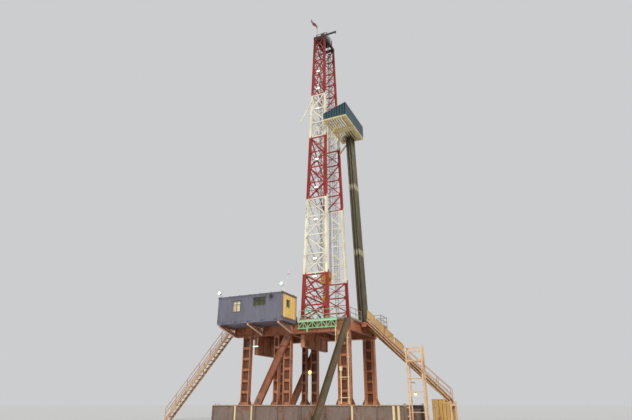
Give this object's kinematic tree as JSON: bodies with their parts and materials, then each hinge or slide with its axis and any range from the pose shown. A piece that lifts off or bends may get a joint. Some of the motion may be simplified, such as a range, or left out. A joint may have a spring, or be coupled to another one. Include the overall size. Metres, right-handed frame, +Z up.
{
  "type": "1:2 scale model of an oil drilling rig",
  "caption": "Land drilling rig with a tapered lattice mast, a raised drill floor, a cabin, a pipe ramp, stairs, an escape slide and a racking board.",
  "frame": {"origin": "on the ground under the well's centre", "axes": "+Z up along the well's axis and the mast, +X towards the pipe ramp, +Y away from the cabin"},
  "size_m": [16.8341, 8.828, 28.16],
  "materials": {
    "base_steel": "satin, dirty",
    "leg_steel": "satin, rusty",
    "deck_steel": "satin, worn",
    "bare_steel": "satin",
    "cast_steel": "rough",
    "green_paint": "satin",
    "crown_paint": "satin, sooty",
    "bracket_paint": "satin, rusty",
    "cabin_paint": "satin",
    "cabin_end_paint": "satin",
    "window_glass": "clear",
    "stair_paint": "satin, worn",
    "ramp_steel": "worn",
    "slide_steel": "worn",
    "mast_red": "satin",
    "mast_white": "satin",
    "board_paint": "satin",
    "wind_wall_paint": "satin",
    "pipe_steel": "oily",
    "block_paint": "satin, worn",
    "rope": "oily",
    "drawworks_paint": "satin",
    "cloth": "matt",
    "lamp_shell": "gloss"
  },
  "bodies": {
    "root": {"near_base_beam": "base_steel", "far_base_beam": "base_steel", "base_cross_beams": "base_steel", "near_legs": "leg_steel", "far_legs": "leg_steel", "side_struts": "leg_steel", "near_floor_girder": "leg_steel", "far_floor_girder": "leg_steel", "floor_cross_beams": "leg_steel", "deep_cross_girders": "leg_steel", "floor_landings": "leg_steel", "drill_floor": "deck_steel", "rotary_table": "cast_steel", "near_fascia": "green_paint", "near_railing": "green_paint", "floor_railings": "bare_steel", "doghouse_brackets": "bracket_paint", "doghouse_skid": "cabin_paint", "doghouse_near_wall": "cabin_paint", "doghouse_far_wall": "cabin_paint", "doghouse_end_walls": "cabin_end_paint", "doghouse_roof": "cabin_paint", "doghouse_door": "cabin_paint", "doghouse_glass": "window_glass", "rear_stair_sides": "stair_paint", "rear_stair_treads": "deck_steel", "v_door_ramp": "ramp_steel", "ramp_foot_stand": "stair_paint", "ramp_stair_sides": "stair_paint", "ramp_stair_treads": "deck_steel", "ramp_stair_panels": "stair_paint", "service_tower": "stair_paint", "escape_slide": "slide_steel", "mast_shoes": "base_steel", "mast_foot_pins": "bare_steel", "mast_section_1": "mast_red", "mast_section_2": "mast_white", "mast_section_3": "mast_red", "mast_section_4": "mast_white", "mast_section_5": "mast_red", "mast_ladder": "bare_steel", "mast_outrigger": "mast_white", "crown_frame": "crown_paint", "crown_sheaves": "cast_steel", "crown_railing": "crown_paint", "flag_pole": "bare_steel", "flag": "cloth", "racking_board": "board_paint", "board_fingers": "board_paint", "board_wind_walls": "wind_wall_paint", "pipe_stands": "pipe_steel", "travelling_block": "block_paint", "hook": "block_paint", "drill_lines": "rope", "drawworks": "drawworks_paint", "floodlights": "lamp_shell", "mast_lights": "lamp_shell"}
  },
  "joints": []
}
